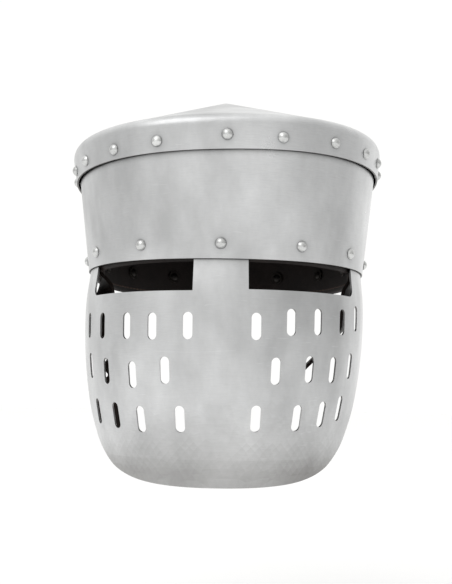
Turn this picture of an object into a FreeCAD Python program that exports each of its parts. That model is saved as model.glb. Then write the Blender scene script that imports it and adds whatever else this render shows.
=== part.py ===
"""Knight helmet: an early face-plate helm of riveted sheet steel with a leather liner and chin strap.

Millimetres. The origin is the middle of the head seat, level with the brow edge of the skull band.
+Z is up, -Y is the front, where the face plate is, and +X is the helmet's side on the viewer's right.
A bearing is an angle in degrees round the helmet: 0 at the front, positive towards +X, 180 at the back.
"""
import FreeCAD, Part
import math
import os

Vector = FreeCAD.Vector

# ---- sheet steel ------------------------------------------------------------------------------
SHEET = 1.2                 # thickness of every steel plate
ROUNDNESS = 2.25            # exponent of the plan shape; 2 would be a plain ellipse
RING_POINTS = 48            # points that a full ring is drawn through
CUT_TOLERANCE = 0.001       # fuzzy value of a cut with many holes
BLOCK = 320.0               # side of a block that trims a whole piece
STRAP_GAP = 0.1             # between the skull band and the seam strap

# Half width and half depth of the outer surface at a height: (height, half width, half depth).
SKULL_FOOT = (0.0, 105.9, 121.2)
SKULL_HEAD = (87.0, 116.2, 133.0)
SKULL_BUTT_GAP = 0.6        # gap between the rolled band's two ends, at the back
FLANGE_FOOT = (69.5, 117.0, 133.4)
FLANGE_HEAD = (86.0, 119.1, 135.5)
RIM_BEND = [FLANGE_HEAD, (89.5, 119.0, 135.4), (92.2, 117.7, 134.1), (94.0, 114.6, 131.0)]
CONE_APEX_Z = 140.2
CONE_TIP = 3.0              # half width of the small flat at the apex
CONE_DROP = 1.07            # the cone's thickness measured upright, in sheet thicknesses
TOP_TILT = 1.4              # degrees that the top plate sits out of level, +X side high
TOP_PITCH = 0.8             # degrees that its front sits high
TILT_PIVOT = Vector(0, 0, 80)

FACE_LEVELS = [(22.0, 105.0, 120.4), (11.0, 104.8, 120.1), (0.0, 104.6, 119.8), (-16.0, 106.3, 121.8),
               (-37.0, 107.0, 122.8), (-60.0, 106.0, 122.0), (-78.0, 104.2, 120.2), (-97.0, 101.2, 117.0),
               (-116.0, 97.5, 112.5), (-140.0, 91.0, 105.0), (-165.0, 82.5, 96.5)]
FACE_WRAP = 104.0           # bearing that the plate is rolled round to, before it is trimmed
FACE_DRIFT = 2.6            # how far the chin stands towards -X
CHIN_Z = -153.6
# Trim line of the face plate seen from the side, from chin to ear: (Y, Z).
FACE_TRIM = [(-101, -153.6), (-85, -150.6), (-73, -146.4), (-64, -140.9), (-57, -133), (-50, -124.5),
             (-44, -114.8), (-36, -105), (-25, -91), (-14, -73), (-7, -50), (-4, -22), (-3, 0), (-3, 24)]

# ---- openings in the face plate ------------------------------------------------------------------
EYE_TOP = 2.0               # hidden behind the brow edge
EYE_CORNER = 6.0            # radius of the lower outer corner
# (bearing of inner end, bearing of outer end, height of the lower edge)
EYES = [(-10.2, -55.0, -21.6), (7.3, 52.4, -20.4)]
VENT_LENGTH = 18.2
VENT_WIDTH = 6.7
# Hand-punched slots, row by row: (bearing, height of the middle).
VENTS = [[(-59, -42.5), (-46.3, -43.7), (-33, -44.7), (-23, -45.3), (-11.2, -45),
          (10.2, -45), (21.6, -41.6), (31.8, -40.5), (44.2, -39.3), (55.6, -35.5)],
         [(-57.8, -71.5), (-44, -75.4), (-30.7, -77.9), (-18.5, -74.7),
          (17.1, -74.4), (29.3, -72.8), (40.3, -72.8), (52.3, -69.6)],
         [(-54.3, -103.9), (-40.4, -105.9), (-28.3, -107.8), (-13.7, -107),
          (11.6, -106.1), (26.4, -105.6), (37.5, -103.3), (48.4, -99.5)]]

# ---- rivets -------------------------------------------------------------------------------------
HEAD_RADIUS = 3.9
HEAD_HEIGHT = 2.9
SHANK_RADIUS = 2.0
TAIL_RADIUS = 3.1
TAIL_HEIGHT = 1.1
HOLE_PLAY = 0.05            # radial clearance of a rivet in its hole
SEAT_GAP = 0.05             # gap between a rivet's head or tail and the plate
TAIL_STANDOFF = 0.4         # further gap where a rivet sits on a wall that leans away from it
# Rim rivets where they were punched, (bearing, height), then the rest, spaced evenly round the back.
RIM_RIVETS = [(-86, 75.6), (-68, 76.2), (-53, 76.3), (-36, 76.3), (-20.5, 76.9), (0, 79.0),
              (16, 77.6), (33.6, 78.3), (50.3, 77.9), (66, 78.5), (82, 76.8)]
RIM_RIVETS_BEHIND = 11
RIM_RIVET_Z = 77.5
BROW_RIVET_Z = 10.0
BROW_RIVET_BEARINGS = [-54, -28.3, -1.6, 24.8, 49.1, 108, 132, 156, 204, 228, 252]
SEAM_STRAP_WIDTH = 26.0
SEAM_STRAP_Z = (3.0, 64.0)
SEAM_RIVET_X = 7.5
SEAM_RIVET_HEIGHTS = [10.0, 25.0, 40.0, 55.0]

# ---- leather liner -------------------------------------------------------------------------------
LEATHER = 2.2
# Outer surface, from the hem to the crown: (height, half width, half depth).
LINER_LEVELS = [(-13.0, 102.6, 117.4), (9.0, 102.6, 117.4), (19.0, 102.6, 117.4), (29.0, 102.5, 117.3),
                (46.0, 101.0, 116.0), (66.0, 93.5, 107.5), (83.0, 80.0, 92.0), (95.0, 60.0, 69.0),
                (102.0, 38.0, 43.0), (104.5, 22.0, 24.0)]
HEM_FRONT = (-117.0, -1.5)  # the hem's Y and Z at the brow
HEM_FALL = 1.83             # degrees that the hem falls towards the back
CROWN_RADIUS = 18.0         # the opening that the tongues leave
BAND_TOP_Z = 61.0           # the tongues are sewn on here
TONGUES = 8
SLIT_WIDTH = 8.0
SLIT_FOOT_Z = 52.0
LACE_RING = 31.0            # radius of the ring of lace holes
LACE_RADIUS = 1.5
LACE_HOLE = 2.4
LACE_Z = 106.6
WASHER_RADIUS = 5.0
WASHER = 1.0
WASHER_STANDOFF = 0.9       # room for a flat washer on the curved leather

# ---- chin strap ----------------------------------------------------------------------------------
STRAP = 2.5                 # thickness of the strap leather
PIVOT_Y = -12.0
PIVOT_Z = 10.0
STRAP_X = 96.9              # middle of each strap where it hangs on its rivet
PIVOT_PLAY = 0.08
PIVOT_WASHER = (94.2, 95.2)
# The long strap hangs with a quarter turn: (height, X of the middle, turn in degrees, width).
LONG_STRAP = [(20.0, -STRAP_X, 0, 17), (1.0, -96.5, 0, 18), (-4.0, -94.8, 18, 18), (-9.0, -93.0, 36, 18),
              (-15.0, -92.9, 50, 18), (-28.0, -93.6, 72, 18), (-45.0, -93.8, 90, 18), (-75.0, -91.8, 90, 18),
              (-106.0, -89.0, 90, 18), (-124.0, -84.6, 90, 17), (-133.0, -82.2, 90, 7)]
TURN_STEPS = 4              # sections between each two of those places
STRAP_HOLES = [-66.0, -78.0, -90.0, -102.0, -114.0]
STRAP_HOLE_RADIUS = 2.0
BUCKLE_STRAP_WIDTH = 20.0
BUCKLE_X = 44.0             # middle of the strap where it reaches the buckle
# Middle line of the buckle strap in the XZ plane.
BUCKLE_STRAP = [(STRAP_X, 20), (STRAP_X, 0), (96.5, -19), (94.6, -33), (87, -45.5), (72, -60.5),
                (57.5, -75), (48.5, -87), (44.6, -98), (BUCKLE_X, -112)]
FOLD_TOP_Z = -92.0
BAR_X = 45.5
BAR_Z = -117.0
WIRE_RADIUS = 1.5           # the buckle frame's wire
BUCKLE_WIDTH = 27.0         # between the middles of the side wires
BUCKLE_DROP = 19.0          # from the bar's middle to the lower wire's middle
BUCKLE_CORNER = 4.0
EYE_PLAY = 0.35             # clearance of the leather eye round the bar
PRONG_PLAY = 0.08
PRONG_RADIUS = 1.15
PRONG_EYE_WIDTH = 4.0
PRONG_SLOT = 6.4
KEEPER_Z = (-102.5, -95.0)
KEEPER_WALL = 1.8
KEEPER_PLAY = 0.3
FOLD_RIVET_Z = -107.5
FOLD_RIVET_RADIUS = 1.5


def radius(half_width, half_depth, bearing):
    """Distance from the axis to the superellipse at a bearing in degrees."""
    angle = math.radians(bearing)
    across = (abs(math.sin(angle)) / half_width) ** ROUNDNESS
    along = (abs(math.cos(angle)) / half_depth) ** ROUNDNESS
    return (across + along) ** (-1 / ROUNDNESS)


def point(level, bearing, inset=0.0, drift=0.0):
    """A point on the wall at a level, moved inwards by inset and sideways by drift."""
    height, half_width, half_depth = level
    reach = radius(half_width - inset, half_depth - inset, bearing)
    angle = math.radians(bearing)
    return Vector(reach * math.sin(angle) + drift, -reach * math.cos(angle), height)


def ring(level, inset=0.0):
    """Closed horizontal outline at a level, starting at the back."""
    points = [point(level, 180 + 360.0 * i / RING_POINTS, inset) for i in range(RING_POINTS)]
    curve = Part.BSplineCurve()
    curve.interpolate(Points=points, PeriodicFlag=True)
    return Part.Wire([curve.toShape()])


def open_curve(points):
    curve = Part.BSplineCurve()
    curve.interpolate(Points=points)
    return curve.toShape()


def strip_section(level, start, end, thickness, inset=0.0, drift=0.0):
    """Outline of a curved strip of sheet between two bearings."""
    count = max(6, int(abs(end - start) / 6.0))
    bearings = [start + (end - start) * i / count for i in range(count + 1)]
    outer = [point(level, bearing, inset, drift) for bearing in bearings]
    inner = [point(level, bearing, inset + thickness, drift) for bearing in reversed(bearings)]
    edges = [open_curve(outer), Part.makeLine(outer[-1], inner[0]),
             open_curve(inner), Part.makeLine(inner[-1], outer[0])]
    return Part.Wire(edges)


def loft(wires, ruled=False):
    return Part.makeLoft(wires, True, ruled)


def level_at(levels, height):
    """Half width and half depth at a height, along straight runs between the levels."""
    ordered = sorted(levels)
    for low, high in zip(ordered, ordered[1:]):
        if low[0] <= height <= high[0]:
            share = (height - low[0]) / (high[0] - low[0])
            return (height, low[1] + share * (high[1] - low[1]), low[2] + share * (high[2] - low[2]))
    raise ValueError("height outside the wall")


def normal_at(levels, bearing, height, step=0.5):
    """Outward normal of the wall at a bearing and height."""
    low = point(level_at(levels, height - step), bearing)
    high = point(level_at(levels, height + step), bearing)
    left = point(level_at(levels, height), bearing - step)
    right = point(level_at(levels, height), bearing + step)
    return (right - left).cross(high - low).normalize()


def stand(shape, place, outward):
    """Turn a shape built along +Z so that it points outward, and move it to its place."""
    moved = shape.copy()
    moved.Placement = FreeCAD.Placement(place, FreeCAD.Rotation(Vector(0, 0, 1), outward))
    return moved


def cap_arc(rim, base, rise):
    """Arc from the rim of a ball cap to its top, with the ball's centre on the Z axis."""
    ball = (rim * rim + rise * rise) / (2 * abs(rise))
    centre = base + rise - math.copysign(ball, rise)
    half = math.asin(min(1.0, rim / ball)) / 2
    middle = Vector(ball * math.sin(half), 0, centre + math.copysign(ball * math.cos(half), rise))
    return Part.Arc(Vector(rim, 0, base), middle, Vector(0, 0, base + rise)).toShape()


def rivet(grip, head=HEAD_RADIUS, rise=HEAD_HEIGHT, shank=SHANK_RADIUS, tail=TAIL_RADIUS):
    """A domed rivet along +Z, its head's underside at the origin and its hammered tail at -grip."""
    dome = cap_arc(head, 0.0, rise)
    closed = cap_arc(tail, -grip, -TAIL_HEIGHT)
    lines = [Part.makeLine(Vector(0, 0, rise), Vector(0, 0, -grip - TAIL_HEIGHT)),
             Part.makeLine(Vector(tail, 0, -grip), Vector(shank, 0, -grip)),
             Part.makeLine(Vector(shank, 0, -grip), Vector(shank, 0, 0)),
             Part.makeLine(Vector(shank, 0, 0), Vector(head, 0, 0))]
    outline = Part.Wire(Part.__sortEdges__([dome, closed] + lines))
    return Part.Face(outline).revolve(Vector(0, 0, 0), Vector(0, 0, 1), 360)


def hole_cutter(shank=SHANK_RADIUS, play=HOLE_PLAY, reach=14.0):
    return Part.makeCylinder(shank + play, 2 * reach, Vector(0, 0, -reach))


def washer(outer, bore, thickness):
    disc = Part.makeCylinder(outer, thickness)
    return disc.cut(Part.makeCylinder(bore, 3 * thickness, Vector(0, 0, -thickness)))


def tilt_top(shape):
    """The top plate and its rivets sit slightly out of level."""
    turned = shape.copy()
    turned.rotate(TILT_PIVOT, Vector(0, 1, 0), -TOP_TILT)
    turned.rotate(TILT_PIVOT, Vector(1, 0, 0), -TOP_PITCH)
    return turned


# ---- rivet places --------------------------------------------------------------------------------
def skull_levels():
    return [SKULL_FOOT, SKULL_HEAD]


def rim_rivets():
    """Rivets through the flange and the skull band, with the holes that they need."""
    flange = [FLANGE_FOOT, FLANGE_HEAD]
    last = RIM_RIVETS[-1][0]
    step = (360 + RIM_RIVETS[0][0] - last) / (RIM_RIVETS_BEHIND + 1)
    behind = [(last + step * (i + 1), RIM_RIVET_Z) for i in range(RIM_RIVETS_BEHIND)]
    solids = []
    holes = []
    for bearing, height in RIM_RIVETS + behind:
        outward = normal_at(flange, bearing, height)
        seat = point(level_at(flange, height), bearing)
        inside = point(level_at(skull_levels(), height), bearing, SHEET)
        grip = (seat - inside).dot(outward) + 2 * SEAT_GAP + TAIL_STANDOFF
        solids.append(tilt_top(stand(rivet(grip), seat + outward * SEAT_GAP, outward)))
        holes.append(tilt_top(stand(hole_cutter(), seat, outward)))
    return solids, holes


def brow_rivets():
    """Rivets through the skull band, the face plate's upper strip, the liner and a washer."""
    solids = []
    holes = []
    washers = []
    for bearing in BROW_RIVET_BEARINGS:
        outward = normal_at(skull_levels(), bearing, BROW_RIVET_Z)
        seat = point(level_at(skull_levels(), BROW_RIVET_Z), bearing)
        leather = point(level_at(LINER_LEVELS, BROW_RIVET_Z), bearing, LEATHER)
        depth = (seat - leather).dot(outward) + WASHER_STANDOFF
        foot = seat - outward * (depth + WASHER)
        solids.append(stand(rivet(depth + WASHER + 2 * SEAT_GAP), seat + outward * SEAT_GAP, outward))
        holes.append(stand(hole_cutter(), seat, outward))
        washers.append(stand(washer(WASHER_RADIUS, SHANK_RADIUS + HOLE_PLAY, WASHER), foot, outward))
    return solids, holes, washers


def seam_rivets():
    """Two columns of rivets through the seam strap and the skull band's ends."""
    solids = []
    holes = []
    for side in (-1, 1):
        for height in SEAM_RIVET_HEIGHTS:
            level = level_at(skull_levels(), height)
            bearing = 180 - math.degrees(math.atan2(side * SEAM_RIVET_X, level[2]))
            outward = normal_at(skull_levels(), bearing, height)
            seat = point(level, bearing, -SHEET - STRAP_GAP)
            solids.append(stand(rivet(2 * (SHEET + SEAT_GAP) + 2 * STRAP_GAP), seat + outward * SEAT_GAP, outward))
            holes.append(stand(hole_cutter(), seat, outward))
    return solids, holes


def pivot_cutter(side, play=HOLE_PLAY):
    """Hole for a strap's pivot rivet, along X."""
    base = Vector(0, PIVOT_Y, PIVOT_Z)
    return Part.makeCylinder(SHANK_RADIUS + play, BLOCK / 2, base, Vector(side, 0, 0))


# ---- steel plates --------------------------------------------------------------------------------
def top_plate(rim_holes):
    """Low cone with a turned-down flange, raised from one sheet."""
    def body(inset, drop):
        skirt = loft([ring(FLANGE_FOOT, inset), ring(FLANGE_HEAD, inset)], True)
        bend = loft([ring((z - drop * share, a, b), inset) for (z, a, b), share
                     in zip(RIM_BEND, (0.0, 0.25, 0.65, 1.0))])
        foot = RIM_BEND[-1]
        tip = (CONE_APEX_Z, CONE_TIP + inset, CONE_TIP * foot[2] / foot[1] + inset)
        cone = loft([ring((foot[0] - drop, foot[1], foot[2]), inset), ring((tip[0] - drop, tip[1], tip[2]), inset)],
                    True)
        return skirt.fuse([bend, cone])
    outer = body(0.0, 0.0)
    inner = body(SHEET, SHEET * CONE_DROP)
    below = loft([ring((FLANGE_FOOT[0] - 5, FLANGE_FOOT[1], FLANGE_FOOT[2]), SHEET), ring(FLANGE_FOOT, SHEET)], True)
    plate = outer.cut([inner, below])
    return tilt_top(plate).cut(rim_holes)


def skull_band(holes):
    """Rolled band whose ends meet at the back."""
    foot, head = skull_levels()
    waist = level_at(skull_levels(), (foot[0] + head[0]) / 2)
    outer = loft([ring(level) for level in (foot, waist, head)])
    inner = loft([ring(level, SHEET) for level in (foot, waist, head)])
    butt = Part.makeBox(SKULL_BUTT_GAP, BLOCK, BLOCK, Vector(-SKULL_BUTT_GAP / 2, 0, -BLOCK / 2))
    return outer.cut(inner).cut([butt] + holes, CUT_TOLERANCE)


def seam_strap(holes):
    """Cover strip over the skull band's butted ends."""
    half = math.degrees(math.atan(SEAM_STRAP_WIDTH / 2 / SKULL_FOOT[2]))
    sections = []
    for height in SEAM_STRAP_Z:
        level = level_at(skull_levels(), height)
        sections.append(strip_section(level, 180 - half, 180 + half, SHEET, -SHEET - STRAP_GAP))
    return loft(sections, True).cut(holes)


def face_drift(height):
    return -FACE_DRIFT * max(0.0, -height) / -CHIN_Z


def face_frame(bearing, height):
    """A point of the face plate with its outward normal and the direction up along the sheet."""
    outward = normal_at(FACE_LEVELS, bearing, height, 2.0)
    across = Vector(0, 0, 1).cross(outward).normalize()
    place = point(level_at(FACE_LEVELS, height), bearing)
    place.x += face_drift(height)
    return place, outward, outward.cross(across)


def vent_cutter(bearing, height):
    """Round-ended slot cutter, square to the sheet."""
    place, outward, upward = face_frame(bearing, height)
    half = VENT_WIDTH / 2
    run = VENT_LENGTH / 2 - half
    corners = [Vector(half, -run, 0), Vector(half, run, 0), Vector(-half, run, 0), Vector(-half, -run, 0)]
    edges = [Part.makeLine(corners[0], corners[1]),
             Part.Arc(corners[1], Vector(0, run + half, 0), corners[2]).toShape(),
             Part.makeLine(corners[2], corners[3]),
             Part.Arc(corners[3], Vector(0, -run - half, 0), corners[0]).toShape()]
    slot = Part.Face(Part.Wire(edges)).extrude(Vector(0, 0, 16))
    slot.translate(Vector(0, 0, -8))
    sideways = upward.cross(outward)
    turn = FreeCAD.Rotation(sideways, upward, outward, "ZXY")
    slot.Placement = FreeCAD.Placement(place, turn).multiply(slot.Placement)
    return slot


def eye_cutter(inner, outer, foot):
    """Long eye slot with a rounded lower outer corner."""
    away = 1 if outer > 0 else -1
    level = level_at(FACE_LEVELS, foot)
    short = outer - away * math.degrees(EYE_CORNER / radius(level[1], level[2], outer))

    def block(end, low):
        sections = []
        for height in (low, EYE_TOP):
            wall = level_at(FACE_LEVELS, height)
            sections.append(strip_section(wall, inner, end, 20.0, -8.0))
        return loft(sections, True)
    place = face_frame(short, foot + EYE_CORNER)[0]
    spoke = Vector(math.sin(math.radians(short)), -math.cos(math.radians(short)), 0)
    corner = Part.makeCylinder(EYE_CORNER, 24, place - spoke * 12, spoke)
    return block(outer, foot + EYE_CORNER).fuse([block(short, foot), corner])


def face_plate(holes):
    """Half-round face guard with eye slots, punched vents and a nasal bar between the eyes."""
    sections = [strip_section(level, -FACE_WRAP, FACE_WRAP, SHEET, 0.0, face_drift(level[0]))
                for level in FACE_LEVELS]
    sheet = loft(sections)
    side = -BLOCK / 2
    trim = [Vector(side, y, z) for y, z in FACE_TRIM]
    chin = Vector(side, side, CHIN_Z)
    crown = Vector(side, side, FACE_TRIM[-1][1])
    outline = Part.Wire([open_curve(trim), Part.makeLine(trim[-1], crown), Part.makeLine(crown, chin),
                         Part.makeLine(chin, trim[0])])
    keep = Part.Face(outline).extrude(Vector(BLOCK, 0, 0))
    cutters = [eye_cutter(*eye) for eye in EYES]
    cutters += [vent_cutter(*vent) for row in VENTS for vent in row]
    return sheet.common(keep).cut(cutters + holes)


# ---- leather liner --------------------------------------------------------------------------------
def liner_parts(holes):
    """Leather band with a sloping hem, and the tongues that meet at the crown."""
    outer = loft([ring(level) for level in LINER_LEVELS])
    inner_levels = []
    for (z, a, b), (next_z, next_a, _) in zip(LINER_LEVELS, LINER_LEVELS[1:] + [LINER_LEVELS[-1]]):
        slope = math.atan2(a - next_a, next_z - z) if next_z > z else math.radians(81)
        inner_levels.append((z - LEATHER * math.sin(slope), a - LEATHER * math.cos(slope),
                             b - LEATHER * math.cos(slope)))
    inner = loft([ring(level) for level in inner_levels])
    foot = loft([ring((LINER_LEVELS[0][0] - 2, inner_levels[0][1], inner_levels[0][2])),
                 ring((LINER_LEVELS[0][0] + 2, inner_levels[0][1], inner_levels[0][2]))], True)
    crown = Part.makeCylinder(CROWN_RADIUS, BLOCK)
    hem = Part.makeBox(BLOCK, BLOCK, BLOCK, Vector(-BLOCK / 2, -BLOCK / 2, HEM_FRONT[1] - BLOCK))
    hem.rotate(Vector(0, *HEM_FRONT), Vector(1, 0, 0), -HEM_FALL)
    shell = outer.cut([inner, foot, crown, hem])
    cutters = []
    for index in range(TONGUES):
        bearing = 360.0 * (index + 0.5) / TONGUES
        wall = level_at(LINER_LEVELS, SLIT_FOOT_Z)
        reach = radius(wall[1], wall[2], bearing)
        slit = Part.makeBox(reach + 6, SLIT_WIDTH, 80, Vector(0, -SLIT_WIDTH / 2, SLIT_FOOT_Z + SLIT_WIDTH / 2))
        end = Part.makeCylinder(SLIT_WIDTH / 2, reach + 6, Vector(0, 0, SLIT_FOOT_Z + SLIT_WIDTH / 2),
                                Vector(1, 0, 0))
        cutter = slit.fuse(end)
        cutter.rotate(Vector(0, 0, 0), Vector(0, 0, 1), bearing - 90)
        cutters.append(cutter)
        tip = math.radians(360.0 * index / TONGUES)
        spot = Vector(LACE_RING * math.sin(tip), -LACE_RING * math.cos(tip), 90)
        cutters.append(Part.makeCylinder(LACE_HOLE, 30, spot))
    leather = shell.cut(cutters + holes)
    upper = Part.makeBox(BLOCK, BLOCK, BLOCK, Vector(-BLOCK / 2, -BLOCK / 2, BAND_TOP_Z))
    return leather.cut(upper), leather.common(upper)


def liner_lace():
    """Lace drawn through the tips of the tongues."""
    return Part.makeTorus(LACE_RING, LACE_RADIUS, Vector(0, 0, LACE_Z))


# ---- chin strap ------------------------------------------------------------------------------------
def pivot_rivet(side):
    """Rivet along X that a strap hangs on."""
    wall = point(level_at(skull_levels(), PIVOT_Z), side * 90)
    reach = math.asin(-PIVOT_Y / wall.Length)
    seat = abs(point(level_at(skull_levels(), PIVOT_Z), side * (90 - math.degrees(reach))).x)
    seat += TAIL_STANDOFF
    grip = seat - PIVOT_WASHER[0] + SEAT_GAP
    return stand(rivet(grip), Vector(side * seat, PIVOT_Y, PIVOT_Z), Vector(side, 0, 0))


def pivot_washer(side):
    plate = washer(WASHER_RADIUS + 0.5, SHANK_RADIUS + HOLE_PLAY, PIVOT_WASHER[1] - PIVOT_WASHER[0])
    return stand(plate, Vector(side * PIVOT_WASHER[0], PIVOT_Y, PIVOT_Z), Vector(side, 0, 0))


def long_strap():
    """Leather strap with holes that hangs on the -X side and makes a quarter turn below its rivet."""
    stations = [LONG_STRAP[0]]
    for upper, lower in zip(LONG_STRAP, LONG_STRAP[1:]):
        for step in range(1, TURN_STEPS + 1):
            share = step / TURN_STEPS
            stations.append([u + share * (w - u) for u, w in zip(upper, lower)])
    sections = []
    for height, middle, turn, width in stations:
        angle = math.radians(turn)
        wide = Vector(-math.sin(angle), math.cos(angle), 0) * (width / 2)
        thick = Vector(math.cos(angle), math.sin(angle), 0) * (STRAP / 2)
        centre = Vector(middle, PIVOT_Y, height)
        corners = [centre + wide + thick, centre - wide + thick, centre - wide - thick, centre + wide - thick]
        sections.append(Part.makePolygon(corners + corners[:1]))
    holes = [pivot_cutter(-1, PIVOT_PLAY)]
    for height in STRAP_HOLES:
        middle = level_at([(z, x, 1) for z, x, _, _ in LONG_STRAP], height)[1]
        holes.append(Part.makeCylinder(STRAP_HOLE_RADIUS, 20, Vector(middle, PIVOT_Y - 10, height),
                                       Vector(0, 1, 0)))
    return loft(sections, True).cut(holes)


def ribbon(line, thickness, width, middle_y):
    """A strap that keeps its width along Y and follows a line in the XZ plane."""
    sides = ([], [])
    for index, (x, z) in enumerate(line):
        before = line[max(0, index - 1)]
        after = line[min(len(line) - 1, index + 1)]
        run = Vector(after[0] - before[0], 0, after[1] - before[1]).normalize()
        square = Vector(-run.z, 0, run.x) * (thickness / 2)
        sides[0].append(Vector(x, middle_y - width / 2, z) + square)
        sides[1].append(Vector(x, middle_y - width / 2, z) - square)
    back = list(reversed(sides[1]))
    outline = Part.Wire([open_curve(sides[0]), Part.makeLine(sides[0][-1], back[0]),
                         open_curve(back), Part.makeLine(back[-1], sides[0][0])])
    return Part.Face(outline).extrude(Vector(0, width, 0))


def along_y(cylinder_radius, length, x, z):
    return Part.makeCylinder(cylinder_radius, length, Vector(x, PIVOT_Y - length / 2, z), Vector(0, 1, 0))


def buckle_strap():
    """Leather strap on the +X side, folded round the buckle's bar."""
    strap = ribbon(BUCKLE_STRAP, STRAP, BUCKLE_STRAP_WIDTH, PIVOT_Y)
    front_y = PIVOT_Y - BUCKLE_STRAP_WIDTH / 2
    fold = Part.makeBox(STRAP, BUCKLE_STRAP_WIDTH, FOLD_TOP_Z - BAR_Z, Vector(BAR_X, front_y, BAR_Z))
    strap_foot = Part.makeBox(STRAP, BUCKLE_STRAP_WIDTH, -110 - BAR_Z, Vector(BUCKLE_X - STRAP / 2, front_y, BAR_Z))
    eye = along_y(WIRE_RADIUS + EYE_PLAY + STRAP, BUCKLE_STRAP_WIDTH, BAR_X, BAR_Z)
    bore = along_y(WIRE_RADIUS + EYE_PLAY, BUCKLE_STRAP_WIDTH + 2, BAR_X, BAR_Z)
    slot = Part.makeBox(12, PRONG_SLOT, 14, Vector(BAR_X - 6, PIVOT_Y - PRONG_SLOT / 2, BAR_Z - 9))
    pin = Part.makeCylinder(FOLD_RIVET_RADIUS + HOLE_PLAY, 20, Vector(36, PIVOT_Y, FOLD_RIVET_Z), Vector(1, 0, 0))
    body = strap.fuse([fold, strap_foot, eye])
    return body.cut([bore, slot, pin, pivot_cutter(1, PIVOT_PLAY)])


def buckle_frame():
    """Rounded wire frame that turns on its upper bar."""
    half = BUCKLE_WIDTH / 2
    low = BAR_Z - BUCKLE_DROP
    corner = BUCKLE_CORNER
    spans = [(Vector(BAR_X, PIVOT_Y - half + corner, BAR_Z), Vector(BAR_X, PIVOT_Y + half - corner, BAR_Z)),
             (Vector(BAR_X, PIVOT_Y + half, BAR_Z - corner), Vector(BAR_X, PIVOT_Y + half, low + corner)),
             (Vector(BAR_X, PIVOT_Y + half - corner, low), Vector(BAR_X, PIVOT_Y - half + corner, low)),
             (Vector(BAR_X, PIVOT_Y - half, low + corner), Vector(BAR_X, PIVOT_Y - half, BAR_Z - corner))]
    edges = []
    for index, (start, end) in enumerate(spans):
        edges.append(Part.makeLine(start, end))
        following = spans[(index + 1) % 4][0]
        centre = Vector(BAR_X, PIVOT_Y + math.copysign(half - corner, (end + following).y / 2 - PIVOT_Y),
                        math.copysign(BUCKLE_DROP / 2 - corner, (end + following).z / 2 - (BAR_Z + low) / 2)
                        + (BAR_Z + low) / 2)
        middle = centre + ((end + following) * 0.5 - centre).normalize() * corner
        edges.append(Part.Arc(end, middle, following).toShape())
    path = Part.Wire(edges)
    start, end = spans[0]
    section = Part.Wire([Part.makeCircle(WIRE_RADIUS, start, end - start)])
    return path.makePipeShell([section], True, False)


def buckle_prong():
    """Tongue that turns on the same bar and rests on the frame's lower wire."""
    bore = WIRE_RADIUS + PRONG_PLAY
    outer = bore + 1.4
    eye = along_y(outer, PRONG_EYE_WIDTH, BAR_X, BAR_Z)
    root = Vector(BAR_X - bore - 0.75, PIVOT_Y, BAR_Z - 0.6)
    tip = Vector(BAR_X - WIRE_RADIUS - 0.35 - PRONG_RADIUS, PIVOT_Y, BAR_Z - BUCKLE_DROP - 2.6)
    shaft = Part.makeCylinder(PRONG_RADIUS, (tip - root).Length, root, tip - root)
    point_end = Part.makeSphere(PRONG_RADIUS, tip)
    return eye.fuse([shaft, point_end]).cut(along_y(bore, PRONG_EYE_WIDTH + 2, BAR_X, BAR_Z))


def keeper_loop():
    """Leather loop round the doubled strap."""
    low, high = KEEPER_Z
    inside = (BUCKLE_X - STRAP / 2 - KEEPER_PLAY, BAR_X + STRAP + 2 * KEEPER_PLAY)
    half = BUCKLE_STRAP_WIDTH / 2 + KEEPER_PLAY
    outer = Part.makeBox(inside[1] - inside[0] + 2 * KEEPER_WALL, 2 * (half + KEEPER_WALL), high - low,
                         Vector(inside[0] - KEEPER_WALL, PIVOT_Y - half - KEEPER_WALL, low))
    hollow = Part.makeBox(inside[1] - inside[0], 2 * half, high - low + 2,
                          Vector(inside[0], PIVOT_Y - half, low - 1))
    return outer.cut(hollow)


def fold_rivet():
    """Small rivet that closes the fold round the buckle's bar."""
    seat = BAR_X + STRAP + SEAT_GAP
    grip = seat - BUCKLE_X + STRAP / 2 + 0.6
    small = rivet(grip, 3.0, 1.4, FOLD_RIVET_RADIUS, 2.6)
    return stand(small, Vector(seat, PIVOT_Y, FOLD_RIVET_Z), Vector(1, 0, 0))


def build():
    rim, rim_holes = rim_rivets()
    brow, brow_holes, washers = brow_rivets()
    seam, seam_holes = seam_rivets()
    pivot_holes = [pivot_cutter(-1), pivot_cutter(1)]
    band, tongues = liner_parts(brow_holes + pivot_holes)
    return {
        "top_plate": top_plate(rim_holes),
        "skull_band": skull_band(rim_holes + brow_holes + seam_holes + pivot_holes),
        "seam_strap": seam_strap(seam_holes),
        "face_plate": face_plate(brow_holes + pivot_holes),
        "rim_rivets": Part.makeCompound(rim),
        "brow_rivets": Part.makeCompound(brow),
        "seam_rivets": Part.makeCompound(seam),
        "liner_band": band,
        "liner_tongues": tongues,
        "liner_lace": liner_lace(),
        "liner_washers": Part.makeCompound(washers),
        "left_pivot_rivet": pivot_rivet(-1),
        "left_pivot_washer": pivot_washer(-1),
        "right_pivot_rivet": pivot_rivet(1),
        "right_pivot_washer": pivot_washer(1),
        "long_strap": long_strap(),
        "buckle_strap": buckle_strap(),
        "buckle_frame": buckle_frame(),
        "buckle_prong": buckle_prong(),
        "keeper_loop": keeper_loop(),
        "fold_rivet": fold_rivet(),
    }


os.makedirs("parts", exist_ok=True)
for name, shape in build().items():
    box = shape.BoundBox
    print("%-18s solids %2d valid %s volume %9.1f  X %.1f %.1f  Y %.1f %.1f  Z %.1f %.1f" % (
        name, len(shape.Solids), shape.isValid(), shape.Volume,
        box.XMin, box.XMax, box.YMin, box.YMax, box.ZMin, box.ZMax))
    shape.exportStep("parts/%s.step" % name)
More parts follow.
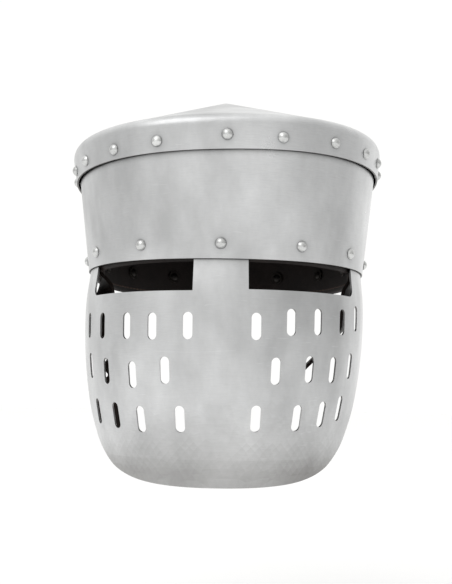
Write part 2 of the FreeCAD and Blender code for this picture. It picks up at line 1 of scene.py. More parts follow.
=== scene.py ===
"""Looks of the knight helmet: satin steel, domed rivets, a leather liner and a buckled chin strap."""
import math
import bpy
from mathutils import Matrix, Vector, noise


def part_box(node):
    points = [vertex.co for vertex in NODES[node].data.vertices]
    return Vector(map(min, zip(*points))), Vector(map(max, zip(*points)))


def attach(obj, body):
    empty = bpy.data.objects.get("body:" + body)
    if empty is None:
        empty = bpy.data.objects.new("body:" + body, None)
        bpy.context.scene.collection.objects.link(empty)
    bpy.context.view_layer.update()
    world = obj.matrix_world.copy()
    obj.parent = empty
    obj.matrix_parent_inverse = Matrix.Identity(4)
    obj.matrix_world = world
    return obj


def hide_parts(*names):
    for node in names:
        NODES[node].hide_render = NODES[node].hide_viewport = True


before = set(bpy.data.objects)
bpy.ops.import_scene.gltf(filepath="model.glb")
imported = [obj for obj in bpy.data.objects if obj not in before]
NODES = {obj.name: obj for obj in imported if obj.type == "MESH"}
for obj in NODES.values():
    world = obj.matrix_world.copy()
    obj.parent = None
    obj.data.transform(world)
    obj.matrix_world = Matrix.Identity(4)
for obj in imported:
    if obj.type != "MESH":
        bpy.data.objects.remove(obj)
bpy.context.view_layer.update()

MM = 0.001

# ---- camera and room, in metres and degrees ----------------------------------------------------
CAMERA_PLACE = Vector((0.0005, -0.750, -0.0797))
CAMERA_PITCH = 5.2
CAMERA_ROLL = 0.8
CAMERA_LENS = 58.7
CAMERA_SENSOR = 36.0
FLOOR_Z = -0.30
FLOOR_RADIUS = 6.0

# ---- colours -------------------------------------------------------------------------------------
# Partly unpolished inner steel, partly painted shade inside the helmet and under its edges.
INNER_STEEL = (0.16, 0.15, 0.14)
# Partly the unpolished tails of rivets, partly painted shade of the helmet's inside.
DULL_SHADED_STEEL = (0.035, 0.032, 0.030)
# Painted shade round rivet heads and joints.
CONTACT_SHADE = (0.05, 0.05, 0.05)
THREAD = (0.065, 0.038, 0.026)

# ---- leather, in millimetres and degrees ---------------------------------------------------------
ROUNDNESS = 2.25            # exponent of the helmet's outline from above
LEATHER = 2.2
# Middle of the liner's wall: (height, half width, half depth).
LINER = [(-12.0, 101.5, 116.3), (29.0, 101.4, 116.2), (46.0, 99.9, 114.9), (66.0, 92.5, 106.5),
         (83.0, 79.1, 91.1), (95.0, 59.3, 68.3), (101.0, 38.0, 43.0), (103.2, 21.0, 23.5)]
LINER_SIZE = (690.0, 160.0)
LINER_DENT = 0.004
DENT_PITCH = 0.035
HEM_FRONT = (-117.0, -1.5)  # (Y, height)
HEM_FALL = 0.032            # per millimetre towards the back
TONGUES = 8
TONGUE_TURN = 360 / TONGUES
TONGUE_COLUMNS = 11
LINER_COLUMNS = TONGUES * (TONGUE_COLUMNS + 1)
BAND_ROWS = 12
TONGUE_ROWS = 22
LINER_ROWS = BAND_ROWS + TONGUE_ROWS
SLIT_FOOT = 52.0
SLIT = 8.0
LACE_RING = 31.0
LACE_RADIUS = 1.4
LACE_MIDDLE = 101.8
LACE_WEAVE = 4.2
KNOT_TURN = math.radians(TONGUE_TURN / 2)
KNOT_HEIGHT = 103.5
KNOT_LOOP = (2.4, 1.35)     # (radius of the loop, radius of the lace in it)
# (tilt of the knot's loop in radians, the end's foot from the knot)
LACE_ENDS = [(0.5, (4, 3, -34)), (-0.6, (-6, 2, -28))]
LACE_END_RADIUS = 1.3
LACE_END_STEPS = 16
STRAP = 2.5
STRAP_COLUMNS = 8
PIVOT = (96.9, -12.0, 10.0)
PIVOT_HOLE = 2.05
STRAP_HOLE = 2.0
# (height, X of the middle, turn, width)
LONG_STRAP = [(20, -96.9, 0, 15), (16, -96.9, 0, 18), (1, -96.5, 0, 18), (-4, -94.8, 18, 18),
              (-9, -93.0, 36, 18), (-15, -93.2, 50, 18), (-28, -95.2, 74, 17.5),
              (-43, -95.4, 88, 17.5), (-75, -92.0, 90, 18), (-106, -89.0, 90, 18),
              (-122, -85.2, 90, 17), (-129, -83.2, 90, 12.5), (-132.6, -82.3, 90, 5)]
STRAP_HOLES = [-66.0, -78.0, -90.0, -102.0, -114.0]
# (X, height, turn) down to the buckle, round its bar and up again
BUCKLE_STRAP = [(96.9, 20, 0), (96.9, 3, 0), (96.1, -4, 7), (94.4, -12, 24), (94.2, -21, 28),
                (93.4, -30, 26), (90.6, -39, 14), (84.5, -48, 5), (72, -60.5, 0), (57.5, -75, 0),
                (48.6, -87, 0), (44.6, -96, 0), (44.0, -103, 0), (43.9, -109, 0), (43.0, -113.5, 0),
                (42.4, -117, 0), (43.4, -119.3, 0), (45.5, -120.15, 0), (47.6, -119.3, 0),
                (48.6, -117, 0), (47.8, -113, 0), (46.9, -109, 0), (46.75, -103, 0),
                (46.75, -92.2, 0)]
BUCKLE_STRAP_WIDTH = 20.0
BAR = (45.5, -117.0)        # (X, height) of the buckle's bar
PRONG_SLOT = (12, 6.2, 13)
KEEPER_MIDDLE = 0.9         # from the keeper's outside to the middle of its wall
KEEPER_WALL = 1.7
KEEPER_ROUNDNESS = 7
ALONG_X = (0, math.pi / 2, 0)
ALONG_Y = (math.pi / 2, 0, 0)


def deselect():
    if bpy.context.object and bpy.context.object.mode != "OBJECT":
        bpy.ops.object.mode_set(mode="OBJECT")
    bpy.ops.object.select_all(action="DESELECT")


def make_camera():
    data = bpy.data.cameras.new("camera")
    data.lens = CAMERA_LENS
    data.sensor_width = CAMERA_SENSOR
    camera = bpy.data.objects.new("camera", data)
    bpy.context.scene.collection.objects.link(camera)
    pitch = Matrix.Rotation(math.radians(90 + CAMERA_PITCH), 4, "X")
    roll = Matrix.Rotation(math.radians(CAMERA_ROLL), 4, "Z")
    camera.matrix_world = Matrix.Translation(CAMERA_PLACE) @ (pitch @ roll)
    bpy.context.scene.camera = camera


def softbox(name, place, target, width, height, power):
    data = bpy.data.lights.new(name, "AREA")
    data.shape = "RECTANGLE"
    data.size = width
    data.size_y = height
    data.energy = power
    light = bpy.data.objects.new(name, data)
    light.location = place
    light.rotation_euler = (Vector(target) - Vector(place)).to_track_quat("-Z", "Y").to_euler()
    bpy.context.scene.collection.objects.link(light)


# ---- node helpers --------------------------------------------------------------------------------
def add(tree, kind, **values):
    node = tree.nodes.new(kind)
    for key, value in values.items():
        if hasattr(node, key):
            setattr(node, key, value)
        else:
            node.inputs[key].default_value = value
    return node


def maths(tree, operation, first, second=None, third=None):
    node = tree.nodes.new("ShaderNodeMath")
    node.operation = operation
    for socket, value in zip(node.inputs, (first, second, third)):
        if value is None:
            continue
        if isinstance(value, (int, float)):
            socket.default_value = value
        else:
            tree.links.new(value, socket)
    return node.outputs[0]


def ramp(tree, value, low, high, start=0.0, end=1.0):
    """value from low to high becomes start to end, held outside."""
    node = tree.nodes.new("ShaderNodeMapRange")
    tree.links.new(value, node.inputs["Value"])
    for key, number in (("From Min", low), ("From Max", high), ("To Min", start), ("To Max", end)):
        node.inputs[key].default_value = number
    return node.outputs["Result"]


def blend(tree, share, first, second):
    node = tree.nodes.new("ShaderNodeMix")
    node.data_type = "RGBA"
    for socket, value in ((node.inputs[0], share), (node.inputs[6], first), (node.inputs[7], second)):
        if isinstance(value, (int, float)):
            socket.default_value = value
        elif isinstance(value, tuple):
            socket.default_value = (*value, 1)
        else:
            tree.links.new(value, socket)
    return node.outputs[2]


def axes(tree, vector):
    """The X, Y and Z of a vector."""
    node = add(tree, "ShaderNodeSeparateXYZ")
    tree.links.new(vector, node.inputs["Vector"])
    return node.outputs


def shade(colour, factor):
    return tuple(min(1.0, value * factor) for value in colour)


def new_group(name, inputs, outputs):
    """A node group; each input is (label, socket type, value), and each output is a number."""
    group = bpy.data.node_groups.new(name, "ShaderNodeTree")
    for label, kind, value in inputs:
        socket = group.interface.new_socket(label, in_out="INPUT", socket_type=kind)
        if value is not None:
            socket.default_value = value
    for label in outputs:
        group.interface.new_socket(label, in_out="OUTPUT", socket_type="NodeSocketFloat")
    return group, group.nodes.new("NodeGroupInput"), group.nodes.new("NodeGroupOutput")


def place_group(tree, group, vector, **values):
    node = tree.nodes.new("ShaderNodeGroup")
    node.node_tree = group
    tree.links.new(vector, node.inputs["Vector"])
    for key, value in values.items():
        node.inputs[key.replace("_", " ")].default_value = value
    return node


def hand_polish():
    """Cloudy patches, fine brushing and small scratches of hand-finished metal."""
    group, start, end = new_group(
        "hand_polish",
        [("Vector", "NodeSocketVector", None), ("Cloud Scale", "NodeSocketFloat", 16.0),
         ("Brush Stretch", "NodeSocketFloat", 14.0)],
        ["Cloud", "Brush", "Scratch"])
    broad = add(group, "ShaderNodeTexNoise", Detail=4.0, Roughness=0.5)
    fine = add(group, "ShaderNodeTexNoise", Detail=6.0, Roughness=0.65)
    tall = add(group, "ShaderNodeMapping")
    tall.inputs["Scale"].default_value = (1.0, 1.0, 0.55)
    group.links.new(start.outputs["Vector"], tall.inputs["Vector"])
    for node, share in ((broad, 1.0), (fine, 3.7)):
        group.links.new(tall.outputs["Vector"], node.inputs["Vector"])
        scale = maths(group, "MULTIPLY", start.outputs["Cloud Scale"], share)
        group.links.new(scale, node.inputs["Scale"])
    cloud = maths(group, "ADD", maths(group, "MULTIPLY", broad.outputs["Fac"], 0.7),
                  maths(group, "MULTIPLY", fine.outputs["Fac"], 0.3))
    group.links.new(ramp(group, cloud, 0.36, 0.64), end.inputs["Cloud"])
    join = add(group, "ShaderNodeCombineXYZ", X=1.0, Y=1.0)
    group.links.new(start.outputs["Brush Stretch"], join.inputs["Z"])
    stretch = add(group, "ShaderNodeVectorMath", operation="MULTIPLY")
    group.links.new(start.outputs["Vector"], stretch.inputs[0])
    group.links.new(join.outputs["Vector"], stretch.inputs[1])
    lines = add(group, "ShaderNodeTexNoise", Scale=130.0, Detail=5.0, Roughness=0.7)
    group.links.new(stretch.outputs["Vector"], lines.inputs["Vector"])
    group.links.new(lines.outputs["Fac"], end.inputs["Brush"])
    marks = add(group, "ShaderNodeTexNoise", Scale=34.0, Detail=2.0, Distortion=1.5)
    group.links.new(stretch.outputs["Vector"], marks.inputs["Vector"])
    group.links.new(ramp(group, marks.outputs["Fac"], 0.68, 0.72), end.inputs["Scratch"])
    return group


def hide_grain():
    """Pores, creases and uneven dye of leather."""
    group, start, end = new_group(
        "hide_grain",
        [("Vector", "NodeSocketVector", None), ("Pore Scale", "NodeSocketFloat", 900.0)],
        ["Tone", "Height", "Wear"])
    pores = add(group, "ShaderNodeTexVoronoi")
    group.links.new(start.outputs["Vector"], pores.inputs["Vector"])
    group.links.new(start.outputs["Pore Scale"], pores.inputs["Scale"])
    folds = add(group, "ShaderNodeTexNoise", Scale=150.0, Detail=7.0, Roughness=0.7, Distortion=0.8)
    dye = add(group, "ShaderNodeTexNoise", Scale=38.0, Detail=5.0, Roughness=0.6)
    for node in (folds, dye):
        group.links.new(start.outputs["Vector"], node.inputs["Vector"])
    group.links.new(maths(group, "ADD", maths(group, "MULTIPLY", pores.outputs["Distance"], 0.6),
                          maths(group, "MULTIPLY", folds.outputs["Fac"], 0.7)), end.inputs["Height"])
    group.links.new(ramp(group, dye.outputs["Fac"], 0.3, 0.7), end.inputs["Tone"])
    group.links.new(ramp(group, folds.outputs["Fac"], 0.58, 0.74), end.inputs["Wear"])
    return group


def sewn_line():
    """A line and its stitches either side of the leather's middle; X along, Y across, in metres."""
    group, start, end = new_group(
        "sewn_line",
        [("Vector", "NodeSocketVector", None), ("Across", "NodeSocketFloat", 0.004),
         ("Half Width", "NodeSocketFloat", 0.0005), ("Pitch", "NodeSocketFloat", 0.004)],
        ["Line", "Stitch"])
    spot = axes(group, start.outputs["Vector"])
    away = maths(group, "SUBTRACT", maths(group, "ABSOLUTE", spot["Y"]), start.outputs["Across"])
    share = maths(group, "DIVIDE", maths(group, "ABSOLUTE", away), start.outputs["Half Width"])
    line = ramp(group, share, 0.6, 1.2, 1.0, 0.0)
    group.links.new(line, end.inputs["Line"])
    step = maths(group, "FRACT", maths(group, "DIVIDE", spot["X"], start.outputs["Pitch"]))
    middle = maths(group, "ABSOLUTE", maths(group, "SUBTRACT", step, 0.5))
    stitch = ramp(group, middle, 0.34, 0.42, 1.0, 0.0)
    group.links.new(maths(group, "MULTIPLY", line, stitch), end.inputs["Stitch"])
    return group


POLISH = hand_polish()
GRAIN = hide_grain()
SEWN = sewn_line()


# ---- materials -----------------------------------------------------------------------------------
def new_material(name):
    material = bpy.data.materials.new(name)
    material.use_nodes = True
    tree = material.node_tree
    shader = next(node for node in tree.nodes if node.type == "BSDF_PRINCIPLED")
    return material, tree, shader


def floor_paint():
    material, _, shader = new_material("pale_floor")
    shader.inputs["Base Color"].default_value = (1.0, 1.0, 1.0, 1)
    shader.inputs["Roughness"].default_value = 0.9
    return material


def metal(name, base, rough, cloud_scale=11.0, stretch=14.0, depth=0.20, dull_and_shaded_inside=None,
          inner_face=0.0, painted_shade_reach=0.0):
    """Hand-polished metal.

    dull_and_shaded_inside is the outline (half width, half depth) within which it is left dull and
    dark, partly as unpolished steel and partly as painted shade of the helmet's inside; inner_face is
    how dark the faces towards the head and the faces turned down are, partly as unpolished steel and
    partly as painted shade; and painted_shade_reach is how far a painted shadow spreads from a joint.
    """
    material, tree, shader = new_material(name)
    shader.inputs["Metallic"].default_value = 1.0
    place = add(tree, "ShaderNodeTexCoord").outputs["Object"]
    polish = place_group(tree, POLISH, place, Cloud_Scale=cloud_scale, Brush_Stretch=stretch)
    light = shade(base, 1 + depth * 0.6)
    colour = blend(tree, polish.outputs["Cloud"], shade(base, 1 - depth), light)
    colour = blend(tree, maths(tree, "MULTIPLY", polish.outputs["Scratch"], 0.25), colour, light)
    brushed = ramp(tree, polish.outputs["Brush"], 0.45, 0.75, 0.0, 0.22)
    colour = blend(tree, brushed, colour, shade(base, 0.6))
    gloss = ramp(tree, polish.outputs["Cloud"], 0.0, 1.0, rough + 0.06, rough - 0.04)
    # Inside the helmet's outline the steel turns dark and dull: partly unpolished rivet tails, partly
    # painted shade of the helmet's inside.
    if dull_and_shaded_inside:
        spot = axes(tree, place)
        terms = []
        for axis, reach in zip("XY", dull_and_shaded_inside):
            share = maths(tree, "DIVIDE", maths(tree, "ABSOLUTE", spot[axis]), reach * MM)
            terms.append(maths(tree, "POWER", share, ROUNDNESS))
        inside = ramp(tree, maths(tree, "ADD", *terms), 0.955, 0.975, 1.0, 0.0)
        colour = blend(tree, inside, colour, DULL_SHADED_STEEL)
        gloss = maths(tree, "ADD", gloss, maths(tree, "MULTIPLY", inside, 0.3))
    # Faces towards the head and faces turned down take the darker inner colour: partly unpolished
    # inner steel, partly painted shade inside the helmet and under its edges.
    elif inner_face:
        normal = add(tree, "ShaderNodeNewGeometry").outputs["True Normal"]
        outward = add(tree, "ShaderNodeVectorMath", operation="MULTIPLY")
        tree.links.new(place, outward.inputs[0])
        outward.inputs[1].default_value = (1.0, 1.0, 0.0)
        facing = add(tree, "ShaderNodeVectorMath", operation="DOT_PRODUCT")
        tree.links.new(outward.outputs["Vector"], facing.inputs[0])
        tree.links.new(normal, facing.inputs[1])
        under = ramp(tree, axes(tree, normal)["Z"], -0.5, -0.2, 1.0, 0.0)
        inwards = ramp(tree, facing.outputs["Value"], -0.03, -0.005, 1.0, 0.0)
        inside = maths(tree, "MAXIMUM", inwards, under)
        colour = blend(tree, maths(tree, "MULTIPLY", inside, inner_face), colour, INNER_STEEL)
        gloss = maths(tree, "ADD", gloss, maths(tree, "MULTIPLY", inside, 0.15))
    # Painted shade: the colour darkens where ambient occlusion finds another surface close by, as
    # round rivet heads and joints.
    if painted_shade_reach:
        near = add(tree, "ShaderNodeAmbientOcclusion", Distance=painted_shade_reach * MM)
        near.samples = 8
        ring = ramp(tree, near.outputs["AO"], 0.45, 0.96, 0.95, 0.0)
        colour = blend(tree, ring, colour, CONTACT_SHADE)
    tree.links.new(colour, shader.inputs["Base Color"])
    tree.links.new(gloss, shader.inputs["Roughness"])
    bump = add(tree, "ShaderNodeBump", Strength=0.12, Distance=0.0003)
    tree.links.new(polish.outputs["Brush"], bump.inputs["Height"])
    tree.links.new(bump.outputs["Normal"], shader.inputs["Normal"])
    return material


def leather(name, base, across, thread=None, pitch=0.004):
    """Dyed leather with a creased or sewn line near its edges, laid out on its own map in metres."""
    material, tree, shader = new_material(name)
    place = add(tree, "ShaderNodeTexCoord")
    grain = place_group(tree, GRAIN, place.outputs["Object"], Pore_Scale=950.0)
    sewn = place_group(tree, SEWN, place.outputs["UV"], Across=across, Pitch=pitch)
    line = sewn.outputs["Line"]
    colour = blend(tree, grain.outputs["Tone"], shade(base, 0.55), shade(base, 1.5))
    worn = maths(tree, "MULTIPLY", grain.outputs["Wear"], 0.35)
    colour = blend(tree, worn, colour, shade(base, 2.6))
    colour = blend(tree, maths(tree, "MULTIPLY", line, 0.7), colour, shade(base, 0.3))
    height = maths(tree, "SUBTRACT", grain.outputs["Height"], maths(tree, "MULTIPLY", line, 0.9))
    if thread:
        colour = blend(tree, sewn.outputs["Stitch"], colour, thread)
        height = maths(tree, "ADD", height, maths(tree, "MULTIPLY", sewn.outputs["Stitch"], 2.2))
    tree.links.new(colour, shader.inputs["Base Color"])
    tree.links.new(ramp(tree, grain.outputs["Tone"], 0.0, 1.0, 0.66, 0.54), shader.inputs["Roughness"])
    shader.inputs["Specular IOR Level"].default_value = 0.28
    bump = add(tree, "ShaderNodeBump", Strength=0.4, Distance=0.0004)
    tree.links.new(height, bump.inputs["Height"])
    tree.links.new(bump.outputs["Normal"], shader.inputs["Normal"])
    return material


# ---- leather pieces ------------------------------------------------------------------------------
def grid(name, along, across):
    """A flat grid from -1 to 1 each way, with the given numbers of faces."""
    deselect()
    bpy.ops.mesh.primitive_grid_add(x_subdivisions=along, y_subdivisions=across, size=2)
    piece = bpy.context.object
    piece.name = name
    piece.data.name = name
    return piece


def shape(piece, place, length, width):
    """Moves each vertex by place(along 0..1, across -1..1) and lays the map out in metres."""
    for loop in piece.data.uv_layers.active.data:
        loop.uv = (loop.uv[0] * length * MM, (loop.uv[1] - 0.5) * width * MM)
    for vertex in piece.data.vertices:
        vertex.co = Vector(place((vertex.co.x + 1) / 2, vertex.co.y)) * MM


def pick(piece):
    deselect()
    piece.select_set(True)
    bpy.context.view_layer.objects.active = piece


def apply(piece, name, kind, **values):
    pick(piece)
    modifier = piece.modifiers.new(name, kind)
    for key, value in values.items():
        setattr(modifier, key, value)
    bpy.ops.object.modifier_apply(modifier=name)


def weld(piece):
    pick(piece)
    bpy.ops.object.mode_set(mode="EDIT")
    bpy.ops.mesh.select_all(action="SELECT")
    bpy.ops.mesh.remove_doubles(threshold=0.00002)
    bpy.ops.mesh.normals_make_consistent(inside=False)
    bpy.ops.object.mode_set(mode="OBJECT")


def soften(piece, angle):
    pick(piece)
    bpy.ops.object.shade_smooth_by_angle(angle=math.radians(angle))


def round_edges(piece, width, angle):
    """Bevels the edges sharper than an angle and shades the rest smooth."""
    apply(piece, "edges", "BEVEL", width=width * MM, segments=2, limit_method="ANGLE",
          angle_limit=math.radians(angle))
    soften(piece, 40)


def at(table, key):
    """Row of a table at a share of its length, halfway between a straight and a smooth course."""
    runs = [math.hypot(b[0] - a[0], b[1] - a[1]) for a, b in zip(table, table[1:])]
    goal = key * sum(runs)
    index = 0
    while index < len(runs) - 1 and goal > runs[index]:
        goal -= runs[index]
        index += 1
    share = min(1.0, goal / runs[index])
    before, low, high, after = (table[max(0, min(len(table) - 1, index + step))]
                                for step in (-1, 0, 1, 2))
    row = []
    for a, b, c, d in zip(before, low, high, after):
        curve = 0.5 * (2 * b + (c - a) * share + (2 * a - 5 * b + 4 * c - d) * share ** 2
                       + (3 * b - a - 3 * c + d) * share ** 3)
        row.append(0.5 * curve + 0.5 * (b + (c - b) * share))
    return row


def ring_reach(half_width, half_depth, bearing):
    """From the middle to the outline, in millimetres; the bearing is in degrees from the front."""
    angle = math.radians(bearing)
    across = (abs(math.sin(angle)) / half_width) ** ROUNDNESS
    along = (abs(math.cos(angle)) / half_depth) ** ROUNDNESS
    return (across + along) ** (-1 / ROUNDNESS)


def wall_at(height):
    """The liner's row at a height."""
    for low, high in zip(LINER, LINER[1:]):
        if low[0] <= height <= high[0]:
            share = (height - low[0]) / (high[0] - low[0])
            return [a + (b - a) * share for a, b in zip(low, high)]
    return list(LINER[-1])


CROWN = [wall_at(SLIT_FOOT)] + [list(row) for row in LINER if row[0] > SLIT_FOOT]


def liner_point(along, across):
    """A band below the slits' feet, and tongues above them with a slit after each."""
    column = round(along * LINER_COLUMNS)
    row = (across + 1) / 2 * LINER_ROWS
    tongue, step = divmod(column, TONGUE_COLUMNS + 1)
    foot = wall_at(SLIT_FOOT)
    rising = row > BAND_ROWS
    level = at(CROWN, (row - BAND_ROWS) / TONGUE_ROWS) if rising else foot
    gap = math.degrees(SLIT / 2 / ring_reach(level[1], level[2], TONGUE_TURN / 2))
    bearing = (180 + TONGUE_TURN * tongue - TONGUE_TURN / 2 + gap
               + (TONGUE_TURN - 2 * gap) * step / TONGUE_COLUMNS)
    angle = math.radians(bearing)
    if not rising:
        outline = ring_reach(foot[1], foot[2], bearing)
        hem = HEM_FRONT[1] - HEM_FALL * (-outline * math.cos(angle) - HEM_FRONT[0])
        level = wall_at(hem + (SLIT_FOOT - hem) * row / BAND_ROWS)
    reach = ring_reach(level[1], level[2], bearing)
    spot = Vector((reach * math.sin(angle), -reach * math.cos(angle), level[0]))
    return spot * (1 - LINER_DENT * abs(noise.noise(spot * DENT_PITCH)))


def make_liner():
    piece = grid("liner_hide", LINER_COLUMNS, LINER_ROWS)
    bpy.ops.object.mode_set(mode="EDIT")
    bpy.ops.mesh.select_mode(type="FACE")
    bpy.ops.mesh.select_all(action="DESELECT")
    bpy.ops.object.mode_set(mode="OBJECT")
    for face in piece.data.polygons:
        column = int((face.center.x + 1) / 2 * LINER_COLUMNS)
        row = int((face.center.y + 1) / 2 * LINER_ROWS)
        face.select = column % (TONGUE_COLUMNS + 1) == TONGUE_COLUMNS and row >= BAND_ROWS
    bpy.ops.object.mode_set(mode="EDIT")
    bpy.ops.mesh.delete(type="FACE")
    bpy.ops.mesh.select_mode(type="VERT")
    bpy.ops.object.mode_set(mode="OBJECT")
    shape(piece, liner_point, *LINER_SIZE)
    weld(piece)
    apply(piece, "thickness", "SOLIDIFY", thickness=LEATHER * MM, offset=0.0)
    apply(piece, "round", "SUBSURF", levels=1, render_levels=1)
    soften(piece, 60)
    return piece


def make_lace():
    """Lace in and out of the tongues' tips, with its ends knotted."""
    deselect()
    bpy.ops.mesh.primitive_torus_add(major_segments=160, minor_segments=10,
                                     major_radius=LACE_RING * MM, minor_radius=LACE_RADIUS * MM)
    ring = bpy.context.object
    for vertex in ring.data.vertices:
        bearing = math.atan2(vertex.co.x, -vertex.co.y)
        vertex.co.z += (LACE_MIDDLE - LACE_WEAVE * math.cos(TONGUES * bearing)) * MM
    parts = [ring]
    knot = Vector((LACE_RING * math.sin(KNOT_TURN), -LACE_RING * math.cos(KNOT_TURN), KNOT_HEIGHT))
    for turn, tip in LACE_ENDS:
        deselect()
        bpy.ops.mesh.primitive_torus_add(
            major_segments=28, minor_segments=10, major_radius=KNOT_LOOP[0] * MM,
            minor_radius=KNOT_LOOP[1] * MM, location=knot * MM, rotation=(1.2 + turn, turn, 0.4))
        parts.append(bpy.context.object)
        bpy.ops.mesh.primitive_cylinder_add(vertices=10, radius=LACE_END_RADIUS * MM, depth=1.0)
        tail = bpy.context.object
        bpy.ops.object.mode_set(mode="EDIT")
        for step in range(1, LACE_END_STEPS):
            bpy.ops.mesh.select_all(action="SELECT")
            bpy.ops.mesh.bisect(plane_co=(0, 0, step / LACE_END_STEPS - 0.5), plane_no=(0, 0, 1))
        bpy.ops.object.mode_set(mode="OBJECT")
        for vertex in tail.data.vertices:
            share = 0.5 - vertex.co.z
            side = Vector((vertex.co.x, vertex.co.y, 0))
            sway = Vector((2.5 * math.sin(5 * share + turn), 2.0 * share, 0))
            vertex.co = side + (knot + Vector(tip) * share + sway) * MM
        parts.append(tail)
    for part in parts:
        part.select_set(True)
    bpy.context.view_layer.objects.active = ring
    bpy.ops.object.join()
    bpy.ops.object.transform_apply(location=True, rotation=True, scale=True)
    ring.name = "liner_cord"
    soften(ring, 50)
    return ring


def punch(piece, cutters):
    """Cuts all the cutters out of a piece and removes them."""
    deselect()
    for cutter in cutters:
        cutter.select_set(True)
    bpy.context.view_layer.objects.active = cutters[0]
    bpy.ops.object.join()
    tool = bpy.context.object
    apply(piece, "holes", "BOOLEAN", object=tool, operation="DIFFERENCE", solver="EXACT")
    bpy.data.objects.remove(tool)


def rod(radius, depth, place, turn):
    deselect()
    bpy.ops.mesh.primitive_cylinder_add(vertices=24, radius=radius * MM, depth=depth * MM,
                                        location=Vector(place) * MM, rotation=turn)
    return bpy.context.object


def strap(name, place, length, width, rows):
    piece = grid(name, rows, STRAP_COLUMNS)
    shape(piece, place, length, width)
    apply(piece, "thickness", "SOLIDIFY", thickness=STRAP * MM, offset=0.0)
    weld(piece)
    return piece


def long_point(along, across):
    height, middle, turn, width = at(LONG_STRAP, along)
    angle = math.radians(turn)
    wide = across * width / 2
    wave = 0.5 * math.sin(along * 9) * math.sin(angle)
    return (middle - wide * math.sin(angle), PIVOT[1] + wide * math.cos(angle) + wave, height)


def make_long_strap():
    piece = strap("holed_strap", long_point, length=155.0, width=18.0, rows=90)
    cutters = [rod(PIVOT_HOLE, 8, (-PIVOT[0], PIVOT[1], PIVOT[2]), ALONG_X)]
    for height in STRAP_HOLES:
        share = (LONG_STRAP[0][0] - height) / (LONG_STRAP[0][0] - LONG_STRAP[-1][0])
        spot = long_point(share, 0.0)
        cutters.append(rod(STRAP_HOLE, 12, (spot[0], PIVOT[1], height), ALONG_Y))
    punch(piece, cutters)
    round_edges(piece, 0.5, 50)
    return piece


def buckle_point(along, across):
    middle, height, turn = at(BUCKLE_STRAP, along)
    angle = math.radians(turn)
    wide = across * BUCKLE_STRAP_WIDTH / 2
    return (middle - wide * math.sin(angle), PIVOT[1] - wide * math.cos(angle), height)


def make_buckle_strap():
    piece = strap("buckle_leather", buckle_point, length=215.0, width=BUCKLE_STRAP_WIDTH, rows=130)
    cutters = [rod(PIVOT_HOLE, 8, PIVOT, ALONG_X)]
    deselect()
    bpy.ops.mesh.primitive_cube_add(size=1, location=Vector((BAR[0], PIVOT[1], BAR[1] - 2)) * MM,
                                    scale=Vector(PRONG_SLOT) * MM)
    cutters.append(bpy.context.object)
    punch(piece, cutters)
    round_edges(piece, 0.45, 55)
    return piece


def make_keeper():
    low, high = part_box("keeper_loop")
    middle = (low + high) / 2
    half = (high - low) / 2
    inset = KEEPER_MIDDLE * MM
    deselect()
    bpy.ops.mesh.primitive_cylinder_add(vertices=64, radius=1, depth=2, end_fill_type="NOTHING")
    piece = bpy.context.object
    piece.name = "strap_keeper"
    for vertex in piece.data.vertices:
        angle = math.atan2(vertex.co.y, vertex.co.x)
        across = (abs(math.cos(angle)) / (half.x - inset)) ** KEEPER_ROUNDNESS
        along = (abs(math.sin(angle)) / (half.y - inset)) ** KEEPER_ROUNDNESS
        reach = (across + along) ** (-1 / KEEPER_ROUNDNESS)
        vertex.co = middle + Vector((reach * math.cos(angle), reach * math.sin(angle),
                                     vertex.co.z * (half.z - 0.1 * MM)))
    apply(piece, "thickness", "SOLIDIFY", thickness=KEEPER_WALL * MM, offset=0.0)
    weld(piece)
    round_edges(piece, 0.4, 50)
    return piece


def dress(piece, material):
    piece.data.materials.clear()
    piece.data.materials.append(material)


def settle(piece, material, body, slot, *nodes):
    dress(piece, material)
    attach(piece, body)
    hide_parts(*nodes)


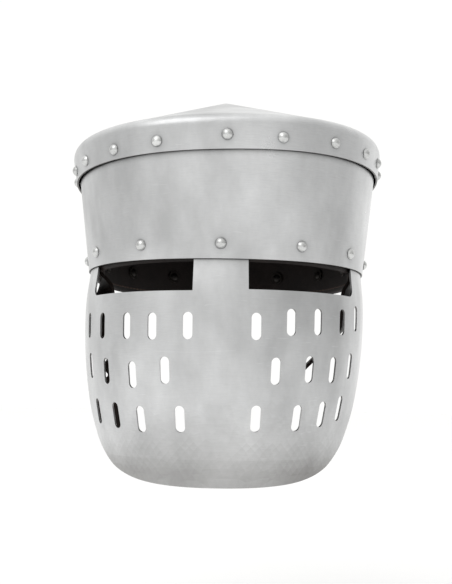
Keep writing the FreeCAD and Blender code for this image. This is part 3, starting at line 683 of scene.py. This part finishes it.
def make_room():
    """White behind the helmet, greyer to its sides and where the viewer stands."""
    scene = bpy.context.scene
    scene.view_settings.view_transform = "Standard"
    world = bpy.data.worlds.new("studio")
    scene.world = world
    world.use_nodes = True
    tree = world.node_tree
    view = axes(tree, add(tree, "ShaderNodeTexCoord").outputs["Generated"])
    aside = maths(tree, "ABSOLUTE", maths(tree, "ADD", view["X"], 0.25))
    sides = ramp(tree, aside, 0.05, 0.95, 0.95, 0.45)
    lift = ramp(tree, view["Z"], -0.3, 0.9, 0.0, 0.35)
    behind = ramp(tree, view["Y"], 0.15, 0.85, 0.0, 1.0)
    near = maths(tree, "ADD", sides, lift)
    level = maths(tree, "ADD", maths(tree, "MULTIPLY", near, maths(tree, "SUBTRACT", 1.0, behind)),
                  maths(tree, "MULTIPLY", behind, 1.02))
    back = tree.nodes["Background"]
    tree.links.new(level, back.inputs["Strength"])
    back.inputs["Color"].default_value = (1.0, 1.0, 0.99, 1.0)
    softbox("key", place=(-0.9, -1.5, 1.5), target=(0, 0, 0), width=1.6, height=1.6, power=9.0)
    deselect()
    bpy.ops.mesh.primitive_circle_add(vertices=96, radius=FLOOR_RADIUS, fill_type="NGON",
                                      location=(0, 0, FLOOR_Z))
    floor = bpy.context.object
    floor.name = "floor"
    dress(floor, floor_paint())


make_camera()
make_room()
plate = metal("plate_steel", (0.635, 0.64, 0.645), 0.31, depth=0.27, inner_face=0.85, painted_shade_reach=5.0)
rivet = {"base": (0.64, 0.645, 0.64), "rough": 0.25, "cloud_scale": 60.0, "stretch": 1.0,
         "depth": 0.18, "painted_shade_reach": 2.5}
stud = metal("rivet_steel", **rivet)
through = metal("brow_rivet_steel", dull_and_shaded_inside=(106.9, 122.5), **rivet)
dull = metal("washer_steel", (0.06, 0.055, 0.05), 0.5, cloud_scale=60.0, stretch=1.0, depth=0.3)
brass = metal("buckle_brass", (0.50, 0.36, 0.15), 0.3, cloud_scale=90.0, stretch=1.0, depth=0.3)
liner_hide = leather("liner_hide", (0.0075, 0.0042, 0.0034), 0.0752, thread=THREAD, pitch=0.0042)
strap_hide = leather("strap_hide", (0.014, 0.0075, 0.0055), 0.0076)
lace_hide = leather("lace_hide", (0.07, 0.04, 0.024), 0.5)
for material, names in ((plate, ("top_plate", "skull_band", "seam_strap", "face_plate")),
                        (stud, ("rim_rivets", "seam_rivets", "left_pivot_rivet", "right_pivot_rivet")),
                        (through, ("brow_rivets",)),
                        (dull, ("liner_washers", "left_pivot_washer", "right_pivot_washer")),
                        (brass, ("buckle_frame", "buckle_prong", "fold_rivet"))):
    for name in names:
        dress(NODES[name], material)
settle(make_liner(), liner_hide, "helmet", "liner_leather", "liner_band", "liner_tongues")
settle(make_lace(), lace_hide, "helmet", "lace_leather", "liner_lace")
settle(make_long_strap(), strap_hide, "long_strap", "strap_leather", "long_strap")
settle(make_buckle_strap(), strap_hide, "buckle_strap", "strap_leather", "buckle_strap")
settle(make_keeper(), strap_hide, "buckle_strap", "strap_leather", "keeper_loop")
